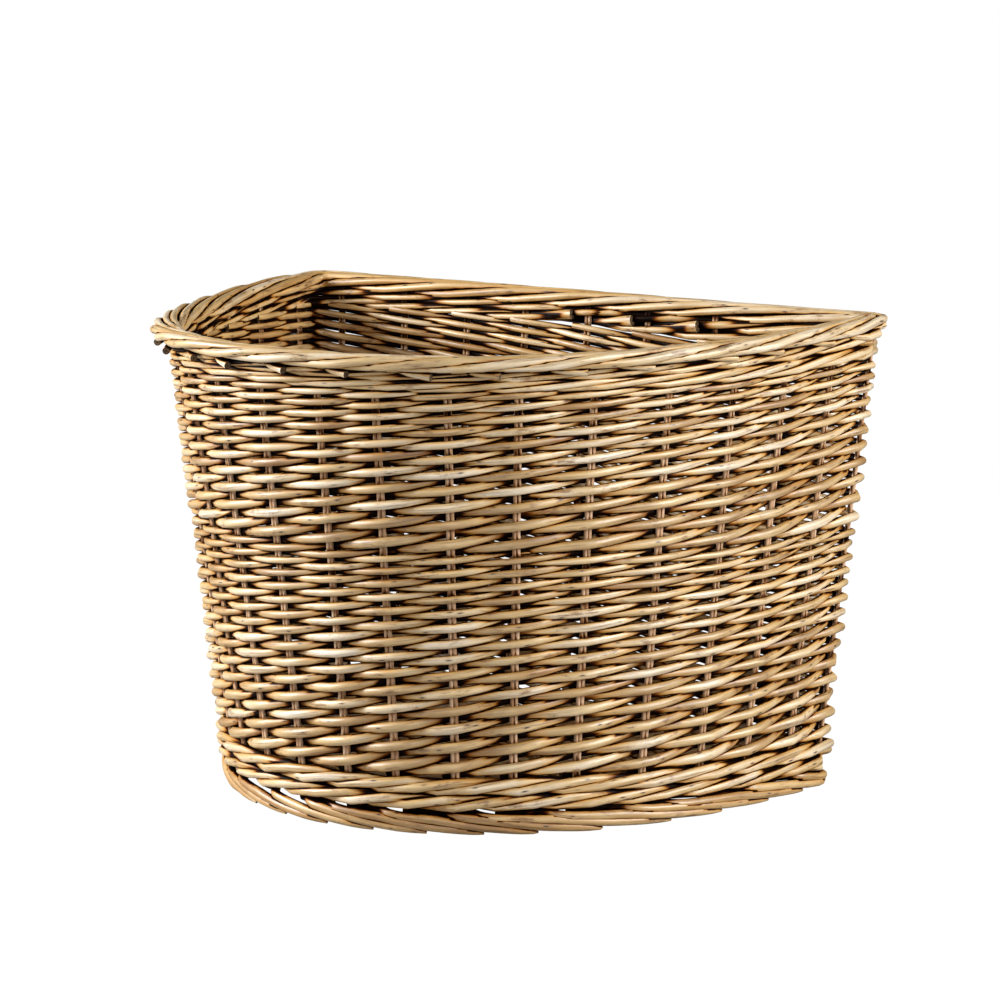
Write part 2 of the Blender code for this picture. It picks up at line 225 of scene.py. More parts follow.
def sagged(turn, height):
    """Height at which a row lies that would be at the given height in an even basket."""
    sag = sag_share(turn) * float(np.interp(height, sag_heights, sag_depths))
    return height - sag - left_end_drop * left_end(turn) * float(smooth_step(*drop_heights, height))


print("a row at 0.180 is at", round(sagged(26, 0.18), 4), "in the corner")


# %% [markdown]
# ## Colours of steamed willow
# Willow that is boiled in its bark and then peeled is buff: from pale honey to reddish brown, and each rod has
# its own shade. Four things show close up: the shade of the rod, fine fibres along it, small dark bud scars,
# and grey or brown stains. The pattern has to run along each bent rod, so every rod carries a "fibre"
# attribute, which is where each of its points was while the rod was still straight. A second attribute, how deep
# a point lies between the rods, paints shade into the colour there: brown, and almost black in the crevices.
# Each step below is one small node set-up, made ready here so that the layers can be read like a recipe.

# %% Helpers for materials
def add_node(tree, kind, **settings):
    node = tree.nodes.new(kind)
    for name, value in settings.items():
        if name in node.inputs:
            node.inputs[name].default_value = value
        else:
            setattr(node, name, value)
    return node


def attribute(tree, name, output):
    return add_node(tree, "ShaderNodeAttribute", attribute_name=name).outputs[output]


def new_material(name):
    material = bpy.data.materials.new(name)
    material.use_nodes = True
    return material, material.node_tree, material.node_tree.nodes["Principled BSDF"]


def grey(value):
    return (value, value, value)


def ramp(tree, fac, stops):
    node = tree.nodes.new("ShaderNodeValToRGB")
    elements = node.color_ramp.elements
    while len(elements) < len(stops):
        elements.new(0.5)
    for element, (place, color) in zip(elements, stops):
        element.position = place
        element.color = (*color, 1.0)
    tree.links.new(fac, node.inputs["Fac"])
    return node.outputs["Color"]


def mix_color(tree, kind, fac, a, b):
    """Mix of two colours; the share and both colours may be values or come from other nodes."""
    node = add_node(tree, "ShaderNodeMix", data_type="RGBA", blend_type=kind)
    share, first, second = node.inputs[0], node.inputs[6], node.inputs[7]
    if isinstance(fac, float):
        share.default_value = fac
    else:
        tree.links.new(fac, share)
    for slot, value in ((first, a), (second, b)):
        if isinstance(value, tuple):
            slot.default_value = (*value, 1.0)
        else:
            tree.links.new(value, slot)
    return node.outputs[2]


def stretched(tree, source, scale):
    node = add_node(tree, "ShaderNodeMapping", Scale=scale)
    tree.links.new(source, node.inputs["Vector"])
    return node.outputs["Vector"]


def noise(tree, source, scale, detail, roughness=0.5):
    """Noise with one scale along the rod and others across it."""
    node = add_node(tree, "ShaderNodeTexNoise", Scale=1.0, Detail=detail, Roughness=roughness)
    tree.links.new(stretched(tree, source, scale), node.inputs["Vector"])
    return node.outputs["Fac"]


def dot_distance(tree, source, scale):
    """Distance from scattered dots."""
    node = add_node(tree, "ShaderNodeTexVoronoi", Scale=1.0)
    tree.links.new(stretched(tree, source, scale), node.inputs["Vector"])
    return node.outputs["Distance"]


print("node helpers are ready")


# %% [markdown]
# ## Layers of the willow
# The colour is laid on in layers, as a painter would do it: the shade of the rod in soft patches, streaks along
# the fibres, stains, bud scars with a brown halo, and specks of dirt where the stains are. Painted light comes
# last: painted shade in the hollows, and a paler, cooler painted highlight on the most open ridges. On the stakes
# the painted shade starts only deeper down, because light reaches them through the openings of the weave.

# %% Willow material
# Painted light: the most open ridges are painted paler and cooler as a highlight, and the deeper a point lies
# between the rods, the darker the painted shade, down to almost black.
painted_shade_highlight_stops = [
    (0.0, (1.0, 1.10, 1.36)), (0.10, (1.0, 1.01, 1.06)), (0.22, (0.97, 0.88, 0.70)), (0.33, (0.82, 0.63, 0.36)),
    (0.405, (0.48, 0.25, 0.075)), (0.46, (0.12, 0.037, 0.006)), (0.52, (0.011, 0.004, 0.0015)),
]
# Painted shade on the stakes: it starts only deeper down and paints no highlight.
stake_painted_shade_stops = [
    (0.0, (1.0, 1.0, 1.0)), (0.55, (1.0, 0.92, 0.84)), (0.70, (0.60, 0.42, 0.28)),
    (0.82, (0.12, 0.055, 0.025)), (0.93, (0.02, 0.007, 0.003)),
]
streak_stops = [(0.32, (0.42, 0.33, 0.25)), (0.48, grey(0.98)), (0.70, grey(1.22))]
stain_tint = (0.46, 0.35, 0.26)
scar_halo = (0.26, 0.13, 0.045)
scar_black = (0.012, 0.006, 0.003)
dirt = (0.06, 0.03, 0.012)


def rod_shade(tree, fibre, dark, middle, pale):
    """Shade of the whole rod, with soft patches along it."""
    patches = noise(tree, fibre, (22, 90, 90), 4, 0.6)
    shift = add_node(tree, "ShaderNodeMath", operation="MULTIPLY_ADD")
    shift.inputs[1].default_value = 0.7
    shift.inputs[2].default_value = -0.38
    tree.links.new(attribute(tree, "shade", "Fac"), shift.inputs[0])
    total = add_node(tree, "ShaderNodeMath", operation="MULTIPLY_ADD")
    total.inputs[1].default_value = 1.1
    tree.links.new(patches, total.inputs[0])
    tree.links.new(shift.outputs[0], total.inputs[2])
    return ramp(tree, total.outputs[0], [(0.05, dark), (0.5, middle), (0.95, pale)])


def with_scars(tree, fibre, color):
    """Small black bud scars, each with a brown halo."""
    distance = dot_distance(tree, fibre, (62, 260, 260))
    halo = ramp(tree, distance, [(0.10, grey(0.6)), (0.24, grey(0.0))])
    scar = ramp(tree, distance, [(0.07, grey(1.0)), (0.13, grey(0.0))])
    return mix_color(tree, "MIX", scar, mix_color(tree, "MIX", halo, color, scar_halo), scar_black)


def with_specks(tree, fibre, stains, color):
    """Specks of dirt, only where the willow is stained."""
    specks = ramp(tree, dot_distance(tree, fibre, (420, 900, 900)), [(0.10, grey(0.9)), (0.26, grey(0.0))])
    areas = ramp(tree, stains, [(0.50, grey(0.0)), (0.62, grey(0.9))])
    return mix_color(tree, "MIX", mix_color(tree, "MULTIPLY", 1.0, specks, areas), color, dirt)


def willow_material(name, dark, middle, pale, roughness, stops=painted_shade_highlight_stops):
    material, tree, shader = new_material(name)
    fibre = attribute(tree, "fibre", "Vector")
    painted_shade = attribute(tree, "painted_shade", "Fac")
    fibres = noise(tree, fibre, (20, 560, 560), 5, 0.7)
    stains = noise(tree, fibre, (60, 240, 240), 5, 0.65)

    color = rod_shade(tree, fibre, dark, middle, pale)
    color = mix_color(tree, "MULTIPLY", 0.9, color, ramp(tree, fibres, streak_stops))
    stained = ramp(tree, stains, [(0.57, grey(0.0)), (0.68, grey(1.0))])
    color = mix_color(tree, "MIX", stained, color, mix_color(tree, "MULTIPLY", 1.0, color, stain_tint))
    color = with_scars(tree, fibre, color)
    color = with_specks(tree, fibre, stains, color)
    # Painted light: shade painted into the hollows, and a paler, cooler highlight painted on the open ridges.
    color = mix_color(tree, "MULTIPLY", 1.0, color, ramp(tree, painted_shade, stops))
    tree.links.new(color, shader.inputs["Base Color"])

    dullness = ramp(tree, fibres, [(0.3, grey(roughness + 0.12)), (0.7, grey(roughness - 0.06))])
    tree.links.new(dullness, shader.inputs["Roughness"])
    shine = ramp(tree, painted_shade, [(0.20, grey(0.95)), (0.42, grey(0.05))])
    tree.links.new(shine, shader.inputs["Specular IOR Level"])
    bump = add_node(tree, "ShaderNodeBump", Strength=0.35, Distance=0.0006)
    tree.links.new(fibres, bump.inputs["Height"])
    tree.links.new(bump.outputs["Normal"], shader.inputs["Normal"])
    return material


weave_willow = willow_material(
    "buff_willow", (0.27, 0.115, 0.024), (0.58, 0.37, 0.140), (0.76, 0.60, 0.38), 0.40)
stake_willow = willow_material(
    "stake_willow", (0.32, 0.16, 0.075), (0.60, 0.40, 0.25), (0.78, 0.60, 0.44), 0.5, stake_painted_shade_stops)
# A darker, browner copy of the willow: painted shade for rods that are mostly seen in shade, at the back of the
# border, in its core, in the foot and in the base.
brown_willow = willow_material(
    "brown_willow", (0.20, 0.078, 0.018), (0.45, 0.24, 0.065), (0.66, 0.43, 0.17), 0.40)
print("willow:", [material.name for material in (weave_willow, stake_willow, brown_willow)])


# %% [markdown]
# ## Cut ends
# A cut end shows the rod's wood end on, rough and weathered. From outside to inside it has a dark ring of skin,
# browner wood and a dark pith, so it takes three plain materials.

# %% Materials of the cut ends
pore_dark = 0.35


def cut_material(name, color, fibre_scale):
    """Wood seen end on."""
    material, tree, shader = new_material(name)
    pores = noise(tree, attribute(tree, "fibre", "Vector"), (60, fibre_scale, fibre_scale), 4)
    darker = tuple(pore_dark * part for part in color)
    tree.links.new(ramp(tree, pores, [(0.38, darker), (0.62, color)]), shader.inputs["Base Color"])
    shader.inputs["Roughness"].default_value = 0.8
    return material


cut_ring = cut_material("cut_ring", (0.030, 0.015, 0.007), 900)
cut_wood = cut_material("cut_wood", (0.16, 0.085, 0.026), 1400)
cut_pith = cut_material("cut_pith", (0.020, 0.010, 0.005), 2000)
print("cut ends:", [material.name for material in (cut_ring, cut_wood, cut_pith)])


# %% [markdown]
# ## One straight rod
# A rod is long, round and cut off at both ends. A cylinder gives the round form. Its lengthwise edges are
# subdivided, so that it can bend, and both ends are inset twice: the outer ring is the brown skin at the cut,
# the next is wood, and the middle is the dark pith. All rods share this shape.

# %% The straight rod that every rod is copied from
skin_inset = 0.22
wood_inset = 0.46
smooth_angle = 50


def select_faces(mesh, keep):
    for face in mesh.polygons:
        face.select = keep(face)


def straight_rod(name, sections, sides):
    bpy.ops.object.select_all(action="DESELECT")
    bpy.ops.mesh.primitive_cylinder_add(
        vertices=sides, radius=1.0, depth=1.0, location=(0.5, 0, 0), rotation=(0, math.pi / 2, 0))
    rod = bpy.context.object
    rod.name = name
    bpy.ops.object.transform_apply(location=True, rotation=True, scale=True)
    mesh = rod.data
    bpy.ops.object.mode_set(mode="EDIT")
    bpy.ops.mesh.select_mode(type="EDGE")
    bpy.ops.mesh.select_all(action="DESELECT")
    bpy.ops.object.mode_set(mode="OBJECT")
    for edge in mesh.edges:
        a, b = (mesh.vertices[k].co for k in edge.vertices)
        edge.select = abs(a.x - b.x) > 0.5
    bpy.ops.object.mode_set(mode="EDIT")
    bpy.ops.mesh.subdivide(number_cuts=sections - 1)
    bpy.ops.mesh.select_mode(type="FACE")
    bpy.ops.mesh.select_all(action="DESELECT")
    bpy.ops.object.mode_set(mode="OBJECT")
    for end, outward in ((0.0, -1), (1.0, 1)):
        select_faces(mesh, lambda face: len(face.vertices) == sides and face.normal.x * outward > 0.9)
        bpy.ops.object.mode_set(mode="EDIT")
        bpy.ops.mesh.inset(thickness=skin_inset)
        bpy.ops.mesh.inset(thickness=wood_inset)
        bpy.ops.mesh.select_all(action="DESELECT")
        bpy.ops.object.mode_set(mode="OBJECT")
    for material in (weave_willow, cut_ring, cut_wood, cut_pith):
        mesh.materials.append(material)
    for face in mesh.polygons:
        if abs(face.normal.x) > 0.9:
            reach = max(math.hypot(mesh.vertices[k].co.y, mesh.vertices[k].co.z) for k in face.vertices)
            face.material_index = 1 if reach > 0.9 else 2 if reach > 0.5 else 3
    bpy.ops.object.shade_smooth_by_angle(angle=math.radians(smooth_angle))
    rod.hide_render = True
    return rod


straight_rods = {}
print("a rod of 20 sections:", len(straight_rod("straight_try", 20, 8).data.polygons), "faces")
bpy.data.objects.remove(bpy.data.objects["straight_try"])


# %% [markdown]
# ## Bending a rod
# A curve gives the path, and the radius at each of its points gives the rod's thickness there. The Curve
# modifier stretches the straight rod over the whole path and bends it, which is just what a weaver does. The
# modifier is then applied, so each rod keeps its own mesh.

# %% Bend a copy of the straight rod along a path
section_length = 0.0038
fewest_sections = 4
pattern_shift = 1.37
rod_total = 0


def add_fibres(rod, length, thickness, shade):
    """Give the straight rod its own stretch of the pattern, and its shade."""
    fibre = rod.data.attributes.new("fibre", "FLOAT_VECTOR", "POINT")
    start = rod_total * pattern_shift
    for vertex, value in zip(rod.data.vertices, fibre.data):
        x, y, z = vertex.co
        value.vector = (start + x * length, y * thickness, z * thickness)
    shades = rod.data.attributes.new("shade", "FLOAT", "POINT")
    shades.data.foreach_set("value", [shade] * len(rod.data.vertices))


def path_curve(points, radii):
    path_data = bpy.data.curves.new("path", "CURVE")
    path_data.dimensions = "3D"
    path_data.twist_mode = "MINIMUM"
    path_data.use_radius = True
    path_data.use_stretch = True
    path_data.use_deform_bounds = True
    spline = path_data.splines.new("POLY")
    spline.points.add(len(points) - 1)
    for target, point, radius in zip(spline.points, points, radii):
        target.co = (*point, 1.0)
        target.radius = radius
    path = bpy.data.objects.new("path", path_data)
    bpy.context.scene.collection.objects.link(path)
    return path


def bent_rod(name, points, radii, material, shade, sides=8, section=section_length):
    global rod_total
    length = sum((b - a).length for a, b in zip(points, points[1:]))
    sections = max(fewest_sections, round(length / section))
    if (sections, sides) not in straight_rods:
        straight_rods[sections, sides] = straight_rod(f"straight_{sections}_{sides}", sections, sides)
    rod = straight_rods[sections, sides].copy()
    rod.data = rod.data.copy()
    rod.name = rod.data.name = name
    rod.hide_render = False
    bpy.context.scene.collection.objects.link(rod)
    add_fibres(rod, length, sum(radii) / len(radii), shade)

    path = path_curve(points, radii)
    bend = rod.modifiers.new("bend", "CURVE")
    bend.object = path
    bend.deform_axis = "POS_X"
    bpy.ops.object.select_all(action="DESELECT")
    rod.select_set(True)
    bpy.context.view_layer.objects.active = rod
    bpy.ops.object.modifier_apply(modifier="bend")
    bpy.data.curves.remove(path.data)
    rod.data.materials[0] = material
    rod_total += 1
    return rod


def steps(first, last, per_stake=14):
    """Even steps along the wall, so many from each stake to the next."""
    count = max(2, round((last - first) * per_stake))
    return [first + (last - first) * k / count for k in range(count + 1)]


# %% [markdown]
# ## Finishing a piece
# Every finished piece rides on the basket's one body and takes the place of its CAD node. Pieces are collected in
# a list, because at the end each one is looked at again, to find its hollows and paint shade into them.

# %% Finish a piece
pieces = []


def finish_piece(piece, slot, *replaced):
    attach(piece, "root")
    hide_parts(*replaced)
    pieces.append(piece)
    return piece


def wander(seed, scale):
    """A smooth, small deviation along a rod, different for each seed."""
    chance = random.Random(seed)
    waves = [(chance.uniform(0.5, 1.0) * scale, chance.uniform(0.5, 1.7), chance.uniform(0, 7)) for _ in range(3)]
    return lambda turn: sum(size * math.sin(rate * turn + phase) for size, rate, phase in waves) / 1.6


# %% [markdown]
# ## Stakes
# Each upright of the wall is a stake with a bye-stake beside it. They lean outward with the wall and wander a
# little, because the weave pushes them about.

# %% Stakes in pairs
stake_radius = 0.00132
stake_bottom = 0.0205
stake_top = 0.2990
stake_sections = 14
stake_half_gap = 0.93 * stake_radius
stake_sway = 0.0003
stake_waves = 0.9
stake_section_length = 0.005


def stake_rod(name, index, side, seed):
    chance = random.Random(seed)
    sway = chance.uniform(-stake_sway, stake_sway)
    points = []
    radii = []
    for k in range(stake_sections + 1):
        share = k / stake_sections
        height = stake_bottom + (stake_top - stake_bottom) * share
        along = (on_wall(index + 0.04, height) - on_wall(index - 0.04, height)).normalized()
        aside = side * stake_half_gap + sway * math.sin(k * stake_waves + seed)
        points.append(on_wall(index, height) + along * aside)
        radii.append(stake_radius * (1.10 - 0.14 * share))
    return bent_rod(name, points, radii, stake_willow, chance.uniform(0.2, 0.9), section=stake_section_length)


for index in range(stake_count):
    pair = [
        stake_rod(f"stake_pair_{index + 1:02d}", index, -1, index * 2),
        stake_rod(f"bye_{index}", index, 1, index * 2 + 1),
    ]
    bpy.ops.object.select_all(action="DESELECT")
    for rod in pair:
        rod.select_set(True)
    bpy.context.view_layer.objects.active = pair[0]
    bpy.ops.object.join()
    finish_piece(pair[0], "stakes", stake_names[index])
print("stake pairs:", stake_count)


# %% [markdown]
# ## Side weave
# The wall is French randing. One rod is put in at every stake, and all of them climb together: each goes in
# front of one stake and behind the next, one row higher each time, until it has gone once round the basket.
# The rods are stiff, so they run nearly straight from stake to stake and bend where they meet one. They
# taper, so the rows get closer towards the top of the set, and then a second set starts with thick ends again.

# %% Two sets of French randing
lower_set = {"first": 0.0448, "pitch": 0.00645, "last_pitch": 0.0036, "rows": 28, "end": 27.2,
             "thick": 0.00335, "thin": 0.00205}
upper_set = {"first": 0.1886, "pitch": 0.0061, "last_pitch": 0.0032, "rows": 20, "end": 21.2,
             "thick": 0.00310, "thin": 0.00215}
tuck = 0.12
bend_sharpness = 0.975
stake_clearance = 0.0014
butt_inside = 1.22
weight_range = (0.93, 1.05)
row_lift = 0.00035
row_sway = 0.00020


def in_and_out(climbed):
    """1 in front of a stake, -1 behind the next, nearly straight between them; the thick end stays behind."""
    if climbed <= -1:
        return -1
    return math.asin(bend_sharpness * math.cos(math.pi * climbed)) / math.asin(bend_sharpness)


def row_height(rows, climbed):
    """Height of a rod after so many stakes; the rows get closer as the rods taper."""
    fall = (rows["last_pitch"] - rows["pitch"]) / (2 * rows["rows"])
    return rows["first"] + rows["pitch"] * climbed + fall * climbed * climbed


def row_pitch(rows, climbed):
    return rows["pitch"] + (rows["last_pitch"] - rows["pitch"]) * climbed / rows["rows"]


def randing_rod(name, rows, start, seed):
    chance = random.Random(seed)
    weight = chance.uniform(*weight_range)
    lift = wander(seed + 1000, row_lift)
    sway = wander(seed + 2000, row_sway)
    points = []
    radii = []
    for climbed in steps(-butt_inside, rows["end"]):
        share = max(climbed, 0) / rows["rows"]
        radius = (rows["thick"] + (rows["thin"] - rows["thick"]) * share) * weight
        wave = in_and_out(climbed)
        reach = stake_clearance + radius + abs(sway(climbed))
        height = row_height(rows, climbed) + tuck * row_pitch(rows, climbed) * (1 - wave) / 2 + lift(climbed)
        points.append(on_wall(start + climbed, sagged(start + climbed, height), reach * wave))
        radii.append(radius)
    return bent_rod(name, points, radii, weave_willow, chance.uniform(0.1, 0.95), 10)


panels = ("side_weave_right", "side_weave_front", "side_weave_left", "side_weave_back")
lower_panels = [f"{side}_{level}" for side in panels for level in (1, 2)]
upper_panels = [f"{side}_3" for side in panels]
for start in range(stake_count):
    rod = randing_rod(f"lower_rand_{start + 1:02d}", lower_set, start, 100 + start)
    finish_piece(rod, "side_weave", *lower_panels)
    rod = randing_rod(f"upper_rand_{start + 1:02d}", upper_set, start, 200 + start)
    finish_piece(rod, "side_weave", *upper_panels)
print("rods in the side weave:", 2 * stake_count)


# %% [markdown]
# ## Waling
# Three rods are worked together like a rope round the stakes: each goes in front of two stakes and behind one,
# and the next rod starts one stake later. Outside, each rod rises over the other two and then dives behind a
# stake. Two rounds of thick waling lock the stakes to the base, and two rounds of thin waling close the weave
# under the border. The thin ones start with thick ends inside the back, high up under the border.

# %% Waling in three rods
lower_wale = {"low": 0.0165, "round": 0.0102, "radius": 0.00300, "butt": 0.0031, "raised": 0.0, "sag_extra": 0.0,
              "corner_rise": 0.0}
upper_wale = {"low": 0.2844, "round": 0.0063, "radius": 0.00200, "butt": 0.0033, "raised": 0.0060,
              "sag_extra": 0.0007, "corner_rise": 0.0016}
rounds = 2
wale_head = 0.8
butt_taper = 3
raised_taper = 1.7
step_up = (25.5, 28.5)
rope_rise = 0.325
wale_clearance = 0.0012
rear_corner = 27
corner_push = 0.0030
push_reach = 0.7
rise_reach = 2
wale_lift = 0.0003


def near_corner(turn, reach):
    """1 at the right rear corner, falling to 0 at the given distance from it."""
    return max(0, 1 - abs(turn % stake_count - rear_corner) / reach)


def rope_side(turn):
    """1 in front of two stakes, -1 behind the third; a rod's head stays behind."""
    phase = (turn + 1) % 3
    if turn < -wale_head / 2:
        side = -1
    elif phase < 1:
        side = -1 + 2 * phase
    elif phase <= 2:
        side = 1 + 0.25 * math.sin(math.pi * (phase - 1))
    else:
        side = 1 - 2 * (phase - 2)
    return math.copysign(min(1.25, abs(side) ** 0.75), side)


def waling_rod(name, wale, start, seed):
    chance = random.Random(seed)
    lift = wander(seed + 1000, wale_lift)
    points = []
    radii = []
    for turn in steps(-wale_head, stake_count * rounds + 0.2):
        place = start + turn
        walked = turn + wale_head
        radius = wale["radius"] + (wale["butt"] - wale["radius"]) * max(0, 1 - walked / butt_taper)
        radius += wale["sag_extra"] * sag_share(place)
        level = wale["low"] + wale["round"] * (0.5 + float(smooth_step(*step_up, turn)))
        level += wale["raised"] * max(0, 1 - walked / raised_taper)
        level += wale["corner_rise"] * near_corner(place, rise_reach)
        rise = -rope_rise * wale["round"] * math.sin(math.tau * (turn + 1) / 3)
        out = (wale_clearance + radius) * rope_side(turn) + corner_push * near_corner(place, push_reach)
        points.append(on_wall(place, sagged(place, level + rise + lift(turn)), out))
        radii.append(radius)
    return bent_rod(name, points, radii, weave_willow, chance.uniform(0.3, 0.8), 10)


for order in range(3):
    rod = waling_rod(f"lower_wale_{order + 1}", lower_wale, 4 + order, 300 + order)
    finish_piece(rod, "waling", "lower_wale_outer", "lower_wale_inner")
    rod = waling_rod(f"upper_wale_{order + 1}", upper_wale, 2 + order, 310 + order)
    finish_piece(rod, "waling", "upper_wale_outer", "upper_wale_inner")
print("waling rods: 6")


# %% [markdown]
# ## Border
# At the rim each stake is bent down to the right and wound over the rim: up the outside, over the top and down
# the inside, while it passes about six stakes. It ends under the border on the outside, where it is cut off,
# so a row of cut ends looks out there. The roll is flat and tight. At the rear corners it is folded, so its
# outside keeps a sharp corner: there the distance from the middle line is stretched like a mitre. The section of
# the roll is a flat loop with its inner edge drawn down. A point on it is found by its share of the way round.

# %% Rolled border
border_middle = 0.3022
border_reach = 0.0050
border_wide = 0.0076
border_high = 0.00215
inner_deep = 0.0026
left_end_inset = 0.0017
loop_flatness = 0.55
inner_steepness = 1.4


def border_loop(count=720):
    """Points round the section of the roll, at even distances, from the middle of its underside outward."""
    raw = []
    for k in range(count + 1):
        angle = math.radians(-90) + math.tau * k / count
        x = math.copysign(abs(math.cos(angle)) ** loop_flatness, math.cos(angle)) * border_wide
        z = math.copysign(abs(math.sin(angle)) ** loop_flatness, math.sin(angle)) * border_high
        if x < 0 and z < 0:
            z -= inner_deep * min(1, -inner_steepness * x / border_wide)
        raw.append((x, z))
    walked = np.concatenate([[0], np.cumsum([math.dist(a, b) for a, b in zip(raw, raw[1:])])])
    even = np.linspace(0, walked[-1], count)
    xs, zs = np.array(raw).T
    return list(zip(np.interp(even, walked, xs), np.interp(even, walked, zs)))


roll = border_loop()
print("the roll is", round(2 * border_wide, 4), "wide, from", len(roll), "points")


def on_border(turn, height, out):
    place = place_at(head_places, turn)
    outward = line_point(border_out, place)
    outward = outward / np.linalg.norm(outward)
    if outward[1] > 0:
        outward = outward / np.abs(outward).max()
    x, y = line_point(border_line, place) + outward * out
    return Vector((float(x), float(y), height))


def border_place(turn, share, size=1.0):
    """Place on the roll: stakes travelled, and share of the way round its section."""
    x, z = roll[int(share % 1 * len(roll))]
    reach = border_reach - left_end_inset * left_end(turn)
    return on_border(turn, sagged(turn, border_middle + z * size), reach + x * size)


# %% [markdown]
# ## Rods of the border
# Each rod follows the roll, and then turns out under it and stops. Most of the cut ends stand out like short
# pegs. Along the right side and round the left end of the rim they are pulled in and lie close under the border.

# %% Rods wound over the rim
border_radius = 0.00268
stub_radius = 0.0024
passed_stakes = 6.2
loop_length = 0.93
core_shares = (0.25, 0.75)
core_size = 0.45
core_radius = 0.0019
shade_painted_border_rods = 5
stub_way = [(0.04, 0.2978, 0.4), (0.24, 0.2968, 0.7), (0.52, 0.2952, 1.0)]
stub_bend_out = 0.0062
stub_out_range = (0.0098, 0.0116)
stub_drop_range = (-0.0006, 0.0012)
flush_out, flush_drop = 0.0082, -0.0008
corner_out = 0.0058
front_drop = 0.0012
left_corner, left_side, left_front, front_middle, right_side = 6.5, 8.5, 12.2, 18, 21.5


def cut_end(end, chance):
    """How far out a rod's cut end stands, and how far it hangs down, by its place in stakes."""
    place = end % stake_count
    drop = chance.uniform(*stub_drop_range)
    out = chance.uniform(*stub_out_range)
    if place > right_side or left_corner < place < left_front:
        out, drop = flush_out, flush_drop
    if left_corner < place < left_side:
        out = corner_out
    if left_front < place < front_middle:
        drop += front_drop
    return out, drop


def border_rod(name, start, seed):
    chance = random.Random(seed)
    shift = chance.uniform(-0.14, 0.14)
    sway = wander(seed + 3000, 0.012)
    points = []
    for passed in steps(0, passed_stakes):
        points.append(border_place(start + passed + shift, loop_length * passed / passed_stakes + sway(passed)))
    end = start + shift + passed_stakes
    out, drop = cut_end(end, chance)
    radii = [border_radius * chance.uniform(0.94, 1.0)] * len(points) + [stub_radius] * len(stub_way)
    for (travelled, height, share), distance in zip(stub_way, (0.0, stub_bend_out, out)):
        points.append(on_wall(end + travelled, sagged(end, height - drop * share), distance))
    # The rods at the back of the border take the darker copy of the willow, which is painted shade.
    willow = brown_willow if start < shade_painted_border_rods else weave_willow
    return bent_rod(name, points, radii, willow, chance.uniform(0.30, 0.95), 10)


for start in range(stake_count):
    rod = border_rod(f"border_rod_{start + 1:02d}", start, 400 + start)
    finish_piece(rod, "border", "rim_border")
for order, share in enumerate(core_shares):
    path = [border_place(turn, share, core_size) for turn in steps(0, stake_count, 10)]
    # The core takes the darker copy of the willow, which is painted shade.
    rod = bent_rod(f"border_core_{order + 1}", path, [core_radius] * len(path), brown_willow, 0.3)
    finish_piece(rod, "border", "rim_border")
print("border rods:", stake_count, "and 2 inside")


# %% [markdown]
# ## Foot
# A rod comes out under the waling at each stake, bends over at the shoulder and slants down to the floor on
# the right, where it is cut off aslant. It is so long that it passes under the next two, so the basket stands
# on a closed band of rods. The shoulders don't stand at even distances, and behind one of them a gap is left.

# %% Foot rods
foot_radius = 0.00292
foot_lift = 0.0002
open_gap = 17
shoulder_shifts = {16: 0.1, 17: 0.1, 18: -0.4, 19: -0.27, 20: -0.05, 21: -0.6, 22: -0.4, 23: -0.2, 24: -0.6}
way_steps = 5
foot_sag = 0.12
bulge_stake = 24.2
bulge_reach = 4.2
foot_bulge = 0.0036


def foot_way(shift, end, thick, inner_leg):
    """The rod's way in stakes travelled, height, distance outside the stakes and radius."""
    return [
        (shift - inner_leg, 0.0128, -0.0068, thick), (shift - 0.30, 0.0136, -0.0060, thick),
        (shift - 0.09, 0.0134, -0.0024, thick), (shift, 0.0128, 0.0006, thick),
        (shift + 0.12, 0.0122, 0.0026, thick), (shift + 0.30, 0.0114, 0.0032, thick),
        (0.65, 0.0099, 0.0034, thick), (1.0, 0.0080, 0.0034, thick), (1.25, 0.0067, 0.0033, thick),
        (1.5, 0.0055, 0.0031, thick), (2.0, 0.0039, 0.0029, thick * 0.97),
        (end - 0.22, 0.0029, 0.0027, thick * 0.80), (end, 0.0012, 0.0026, thick * 0.28),
    ]


def foot_rod(name, start, seed):
    chance = random.Random(seed)
    shift = shoulder_shifts.get(start, chance.uniform(-0.4, 0.1))
    end = 2.45 + chance.uniform(-0.06, 0.06)
    thick = foot_radius * chance.uniform(0.98, 1.06)
    way = foot_way(shift, end, thick, 0.3 if start == open_gap else 0.9)
    points = []
    radii = []
    for here, after in zip(way, way[1:]):
        for k in range(way_steps):
            travelled, height, out, radius = (a + (b - a) * k / way_steps for a, b in zip(here, after))
            turn = start + travelled
            height *= 1 - foot_sag * sag_share(turn)
            out += foot_bulge * max(0, 1 - ((turn % stake_count - bulge_stake) / bulge_reach) ** 2)
            points.append(on_wall(turn, max(height, radius + foot_lift), out))
            radii.append(radius)
    travelled, height, out, radius = way[-1]
    points.append(on_wall(start + travelled, height, out))
    radii.append(radius)
    # The foot takes the darker copy of the willow, which is painted shade.
    return bent_rod(name, points, radii, brown_willow, chance.uniform(0.3, 0.9), 10)


for start in range(stake_count):
    rod = foot_rod(f"foot_rod_{start + 1:02d}", start, 500 + start)
    finish_piece(rod, "foot", "foot_border")
print("foot rods:", stake_count)


# %% [markdown]
# ## Base
# The bottom isn't seen in the photograph. A base of this shape has straight sticks from back to front, and
# rods woven across them from side to side. Each rod here goes to and fro several times, over and under the
# sticks, and turns round at the edge of the base.

